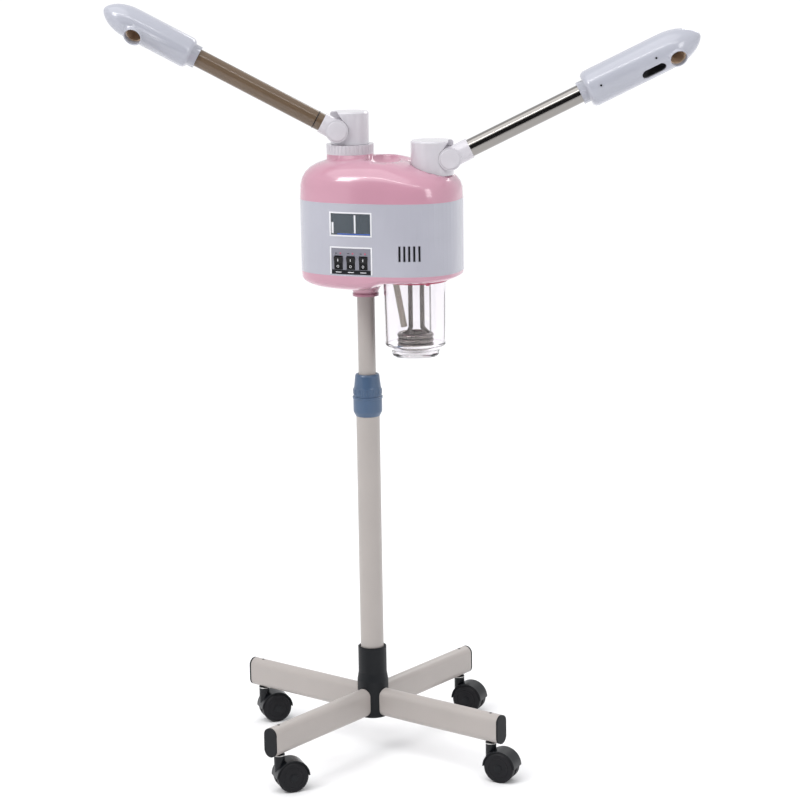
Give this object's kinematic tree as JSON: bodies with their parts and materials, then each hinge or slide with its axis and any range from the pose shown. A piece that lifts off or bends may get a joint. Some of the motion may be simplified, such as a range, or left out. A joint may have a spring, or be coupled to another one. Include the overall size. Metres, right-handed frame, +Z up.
{
  "type": "facial steamer",
  "caption": "Facial steamer on a rolling four-leg stand, with a telescopic column, a glass water jar and two swivelling steam arms.",
  "frame": {"origin": "on the floor, under the centre of the whole steamer at rest", "axes": "+X to the user's right as they face the control panel, -Y out of the control panel, +Z up"},
  "size_m": [0.8217, 0.4604, 1.1341],
  "materials": {
    "black_plastic": "satin",
    "steel": "satin",
    "warm_grey_paint": "satin powder coat",
    "slate_plastic": "satin",
    "pale_plastic": "satin",
    "pink_gloss": "gloss",
    "pink_dark": "gloss",
    "white_gloss": "gloss",
    "smoked_window": "smoked, glossy",
    "display": "satin",
    "panel_grey": "satin",
    "rocker_black": "gloss",
    "circuit_green": "satin",
    "seal_rubber": "matte",
    "clear_glass": "clear",
    "heater_steel": "scaled",
    "silicone": "translucent",
    "smoked_tube": "smoked, translucent",
    "chrome_tube": "polished",
    "wheel_rubber": "matte"
  },
  "bodies": {
    "base": {"hub": "black_plastic", "hub_bolt": "steel", "lower_column": "warm_grey_paint", "collar_body": "slate_plastic", "clamp_sleeve": "pale_plastic", "leg_1": "warm_grey_paint", "leg_2": "warm_grey_paint", "leg_3": "warm_grey_paint", "leg_4": "warm_grey_paint", "leg_cap_1": "black_plastic", "leg_cap_2": "black_plastic", "leg_cap_3": "black_plastic", "leg_cap_4": "black_plastic"},
    "collar": {"collar_nut": "slate_plastic"},
    "mast": {"upper_column": "warm_grey_paint", "column_glide": "pale_plastic"},
    "head": {"mast_socket": "steel", "lower_shell": "pink_gloss", "middle_band": "white_gloss", "upper_shell": "pink_gloss", "display_lens": "smoked_window", "display_module": "display", "switch_plate": "panel_grey", "vent_screen": "black_plastic", "power_inlet": "black_plastic", "control_board": "circuit_green", "jar_seat": "pink_dark", "jar_seal": "seal_rubber", "heater": "heater_steel", "level_probe": "steel", "suction_tube": "silicone", "left_ring": "white_gloss"},
    "rocker_1": {"rocker_1": "rocker_black"},
    "rocker_2": {"rocker_2": "rocker_black"},
    "rocker_3": {"rocker_3": "rocker_black"},
    "jar": {"water_jar": "clear_glass"},
    "left_turret": {"left_turret": "white_gloss", "left_pivot_pin": "steel"},
    "left_arm": {"left_elbow": "white_gloss", "left_arm_tube": "smoked_tube"},
    "left_nozzle": {"left_nozzle": "white_gloss", "left_duct": "silicone"},
    "right_turret": {"right_turret": "white_gloss", "right_pivot_pin": "steel"},
    "right_arm": {"right_elbow": "white_gloss", "right_arm_tube": "chrome_tube"},
    "right_nozzle": {"right_nozzle": "white_gloss", "right_duct": "steel"},
    "caster_1": {"caster_fork_1": "black_plastic", "caster_axle_1": "steel"},
    "wheels_1": {"caster_wheels_1": "wheel_rubber"},
    "caster_2": {"caster_fork_2": "black_plastic", "caster_axle_2": "steel"},
    "wheels_2": {"caster_wheels_2": "wheel_rubber"},
    "caster_3": {"caster_fork_3": "black_plastic", "caster_axle_3": "steel"},
    "wheels_3": {"caster_wheels_3": "wheel_rubber"},
    "caster_4": {"caster_fork_4": "black_plastic", "caster_axle_4": "steel"},
    "wheels_4": {"caster_wheels_4": "wheel_rubber"}
  },
  "joints": [
    {"name": "mast_height", "type": "slide", "parent": "base", "child": "mast", "axis": [0, 0, 1], "range_m": [-0.1, 0.15]},
    {"name": "collar_turn", "type": "hinge", "parent": "base", "child": "collar", "pos_m": [-0.0646, 0, 0.563], "axis": [0, 0, 1], "range_deg": [0, 90]},
    {"name": "head_swivel", "type": "hinge", "parent": "mast", "child": "head", "pos_m": [-0.0646, 0, 0.745], "axis": [0, 0, 1], "range_deg": [-175, 175]},
    {"name": "rocker_1_tip", "type": "hinge", "parent": "head", "child": "rocker_1", "pos_m": [-0.0776, -0.0798, 0.764], "axis": [1, 0, 0], "range_deg": [-18, 0]},
    {"name": "rocker_2_tip", "type": "hinge", "parent": "head", "child": "rocker_2", "pos_m": [-0.0586, -0.0798, 0.764], "axis": [1, 0, 0], "range_deg": [-18, 0]},
    {"name": "rocker_3_tip", "type": "hinge", "parent": "head", "child": "rocker_3", "pos_m": [-0.0396, -0.0798, 0.764], "axis": [1, 0, 0], "range_deg": [-18, 0]},
    {"name": "jar_twist", "type": "hinge", "parent": "head", "child": "jar", "pos_m": [0.0114, 0, 0.685], "axis": [0, 0, 1], "range_deg": [-45, 0]},
    {"name": "left_turret_turn", "type": "hinge", "parent": "head", "child": "left_turret", "pos_m": [-0.0846, 0, 0.948], "axis": [0, 0, 1], "range_deg": [-90, 90]},
    {"name": "left_arm_tilt", "type": "hinge", "parent": "left_turret", "child": "left_arm", "pos_m": [-0.09616, -0.02268, 0.948], "axis": [-0.309, 0.9511, 0], "range_deg": [-20, 25]},
    {"name": "left_nozzle_turn", "type": "hinge", "parent": "left_arm", "child": "left_nozzle", "pos_m": [-0.28505, -0.08406, 1.05584], "axis": [-0.8358, -0.2716, 0.4772], "range_deg": [-90, 90]},
    {"name": "right_turret_turn", "type": "hinge", "parent": "head", "child": "right_turret", "pos_m": [0.0404, 0, 0.909], "axis": [0, 0, 1], "range_deg": [-60, 30]},
    {"name": "right_arm_tilt", "type": "hinge", "parent": "right_turret", "child": "right_arm", "pos_m": [0.0685, -0.00559, 0.909], "axis": [0.309, -0.9511, 0], "range_deg": [-20, 25]},
    {"name": "right_nozzle_turn", "type": "hinge", "parent": "right_arm", "child": "right_nozzle", "pos_m": [0.24705, 0.05242, 0.99855], "axis": [0.8584, 0.2789, 0.4305], "range_deg": [-90, 90]},
    {"name": "caster_1_swivel", "type": "hinge", "parent": "base", "child": "caster_1", "pos_m": [0.14307, -0.07559, 0.023], "axis": [0, 0, 1], "continuous": true},
    {"name": "wheels_1_roll", "type": "hinge", "parent": "caster_1", "child": "wheels_1", "pos_m": [0.15995, -0.07766, 0.023], "axis": [0.1219, 0.9925, 0], "continuous": true},
    {"name": "caster_2_swivel", "type": "hinge", "parent": "base", "child": "caster_2", "pos_m": [0.01099, 0.20767, 0.023], "axis": [0, 0, 1], "continuous": true},
    {"name": "wheels_2_roll", "type": "hinge", "parent": "caster_2", "child": "wheels_2", "pos_m": [0.02786, 0.2056, 0.023], "axis": [0.1219, 0.9925, 0], "continuous": true},
    {"name": "caster_3_swivel", "type": "hinge", "parent": "base", "child": "caster_3", "pos_m": [-0.27227, 0.07559, 0.023], "axis": [0, 0, 1], "continuous": true},
    {"name": "wheels_3_roll", "type": "hinge", "parent": "caster_3", "child": "wheels_3", "pos_m": [-0.25888, 0.08605, 0.023], "axis": [-0.6157, 0.788, 0], "continuous": true},
    {"name": "caster_4_swivel", "type": "hinge", "parent": "base", "child": "caster_4", "pos_m": [-0.14019, -0.20767, 0.023], "axis": [0, 0, 1], "continuous": true},
    {"name": "wheels_4_roll", "type": "hinge", "parent": "caster_4", "child": "wheels_4", "pos_m": [-0.12679, -0.19721, 0.023], "axis": [-0.6157, 0.788, 0], "continuous": true}
  ]
}
